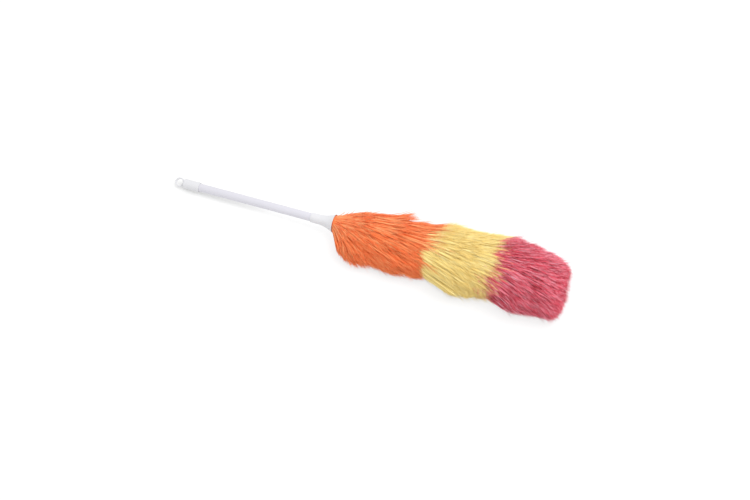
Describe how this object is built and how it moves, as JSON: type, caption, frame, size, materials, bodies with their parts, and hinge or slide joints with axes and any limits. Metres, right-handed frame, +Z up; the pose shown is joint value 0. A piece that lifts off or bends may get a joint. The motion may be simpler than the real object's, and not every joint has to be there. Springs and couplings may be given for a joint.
{
  "type": "polywool duster",
  "caption": "Slim straight handle with a hanging eye, a flared ferrule and a long soft head of split-film wool in orange, yellow and pink, lying flat.",
  "frame": {"origin": "middle of the duster's length and width, on the surface that it lies on", "axes": "+X along the duster from the hanging eye to the tip of the head, +Z up"},
  "size_m": [0.6228, 0.0998, 0.0883],
  "materials": {
    "white_plastic": "smooth satin moulding",
    "pale_tube": "smooth drawn tube, slightly glossy",
    "rod_plastic": "plain",
    "orange_wool": "split polypropylene film, soft sheen",
    "yellow_wool": "split polypropylene film, soft sheen",
    "pink_wool": "split polypropylene film, soft sheen",
    "binding_metal": "plain band"
  },
  "bodies": {
    "root": {"hang_cap": "white_plastic", "handle_tube": "pale_tube", "ferrule": "white_plastic", "core_rod": "rod_plastic", "orange_wool_1": "orange_wool", "orange_wool_2": "orange_wool", "orange_wool_3": "orange_wool", "yellow_wool_1": "yellow_wool", "yellow_wool_2": "yellow_wool", "yellow_wool_3": "yellow_wool", "yellow_wool_4": "yellow_wool", "pink_wool_1": "pink_wool", "pink_wool_2": "pink_wool", "pink_wool_3": "pink_wool", "pink_wool_4": "pink_wool", "tip_tuft": "pink_wool", "binding_ring_01": "binding_metal", "binding_ring_02": "binding_metal", "binding_ring_03": "binding_metal", "binding_ring_04": "binding_metal", "binding_ring_05": "binding_metal", "binding_ring_06": "binding_metal", "binding_ring_07": "binding_metal", "binding_ring_08": "binding_metal", "binding_ring_09": "binding_metal", "binding_ring_10": "binding_metal", "binding_ring_11": "binding_metal", "binding_ring_12": "binding_metal"}
  },
  "joints": []
}
